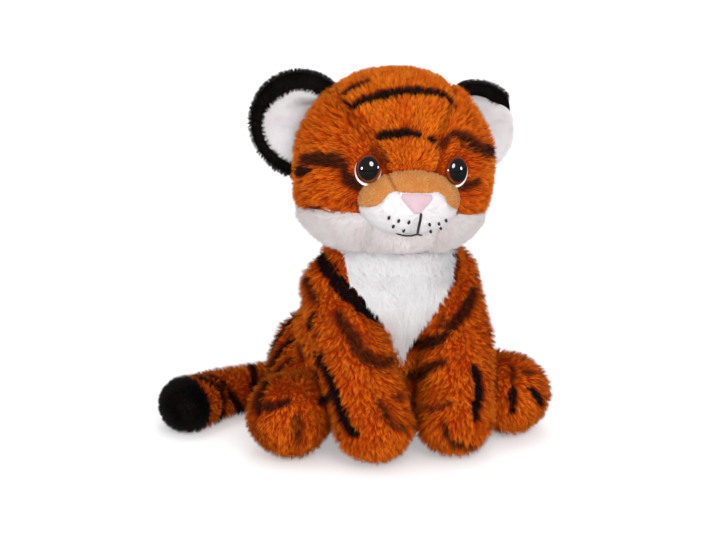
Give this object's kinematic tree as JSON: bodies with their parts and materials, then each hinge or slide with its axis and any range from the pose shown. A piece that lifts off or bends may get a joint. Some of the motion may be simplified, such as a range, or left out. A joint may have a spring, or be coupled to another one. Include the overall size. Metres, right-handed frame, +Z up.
{
  "type": "plush tiger",
  "caption": "Sitting plush tiger cub with a large tilted head, dished round ears, sewn-on limbs, striped long pile, a short-pile muzzle and a curved tail.",
  "frame": {"origin": "centre of the flat seat under the torso, where the toy meets the floor", "axes": "+Z up, -Y the way the toy faces, +X towards the toy's left"},
  "size_m": [0.2404, 0.1686, 0.2468],
  "materials": {
    "orange_plush": "long-pile polyester plush, orange with printed dark stripes",
    "white_plush": "long-pile polyester plush, white",
    "black_plush": "short dense polyester plush, black",
    "smooth_pile": "short shorn polyester velour, white",
    "tan_pile": "short shorn polyester velour, tan",
    "nose_fabric": "pink tricot over a thin pad",
    "felt": "white polyester felt",
    "polyester_filling": "loose polyester fibre filling",
    "pouch_cloth": "woven polyester pouch filled with plastic pellets",
    "eye_plastic": "clear domed plastic over a brown iris and a black pupil",
    "washer_plastic": "plain moulded polyethylene"
  },
  "bodies": {
    "torso": {"torso_shell": "orange_plush", "chest_bib": "white_plush", "torso_stuffing": "polyester_filling", "pellet_pouch": "pouch_cloth"},
    "head": {"forehead_gusset": "orange_plush", "head_shell": "orange_plush", "chin": "white_plush", "cheek_left": "white_plush", "cheek_right": "white_plush", "muzzle": "smooth_pile", "nose_bridge": "tan_pile", "nose": "nose_fabric", "eye_left": "eye_plastic", "eye_right": "eye_plastic", "eye_felt_left": "felt", "eye_felt_right": "felt", "eye_washer_left": "washer_plastic", "eye_washer_right": "washer_plastic", "head_stuffing": "polyester_filling"},
    "ear_left": {"ear_back_left": "black_plush", "ear_lining_left": "smooth_pile"},
    "ear_right": {"ear_back_right": "black_plush", "ear_lining_right": "smooth_pile"},
    "front_leg_left": {"front_leg_left": "orange_plush", "front_leg_stuffing_left": "polyester_filling"},
    "front_leg_right": {"front_leg_right": "orange_plush", "front_leg_stuffing_right": "polyester_filling"},
    "hind_leg_left": {"hind_leg_left": "orange_plush", "hind_leg_stuffing_left": "polyester_filling"},
    "hind_leg_right": {"hind_leg_right": "orange_plush", "hind_leg_stuffing_right": "polyester_filling"},
    "tail": {"tail": "orange_plush", "tail_tip": "black_plush", "tail_stuffing": "polyester_filling"}
  },
  "joints": [
    {"name": "neck_turn", "type": "hinge", "parent": "torso", "child": "head", "pos_m": [0, -0.025, 0.131], "axis": [0, 0, 1], "range_deg": [-25, 25], "stiffness_Nm_per_rad": 0.3},
    {"name": "ear_left_fold", "type": "hinge", "parent": "head", "child": "ear_left", "pos_m": [0.05854, -0.00951, 0.1966], "axis": [-0.1645, -0.0634, 0.9843], "range_deg": [-25, 25], "stiffness_Nm_per_rad": 0.02},
    {"name": "ear_right_fold", "type": "hinge", "parent": "head", "child": "ear_right", "pos_m": [-0.05153, 0.00012, 0.20569], "axis": [-0.309, 0.1048, -0.9453], "range_deg": [-25, 25], "stiffness_Nm_per_rad": 0.02},
    {"name": "front_leg_left_lift", "type": "hinge", "parent": "torso", "child": "front_leg_left", "pos_m": [0.035, -0.021, 0.103], "axis": [-1, 0, 0], "range_deg": [0, 35], "stiffness_Nm_per_rad": 0.15},
    {"name": "front_leg_right_lift", "type": "hinge", "parent": "torso", "child": "front_leg_right", "pos_m": [-0.035, -0.021, 0.103], "axis": [-1, 0, 0], "range_deg": [0, 35], "stiffness_Nm_per_rad": 0.15},
    {"name": "hind_leg_left_splay", "type": "hinge", "parent": "torso", "child": "hind_leg_left", "pos_m": [0.044, 0.0175, 0.042], "axis": [0, 0, 1], "range_deg": [0, 15], "stiffness_Nm_per_rad": 0.3},
    {"name": "hind_leg_right_splay", "type": "hinge", "parent": "torso", "child": "hind_leg_right", "pos_m": [-0.044, 0.0175, 0.042], "axis": [0, 0, -1], "range_deg": [0, 15], "stiffness_Nm_per_rad": 0.3},
    {"name": "tail_swing", "type": "hinge", "parent": "torso", "child": "tail", "pos_m": [0, 0.034, 0.015], "axis": [0, 0, -1], "range_deg": [0, 45], "stiffness_Nm_per_rad": 0.1}
  ]
}
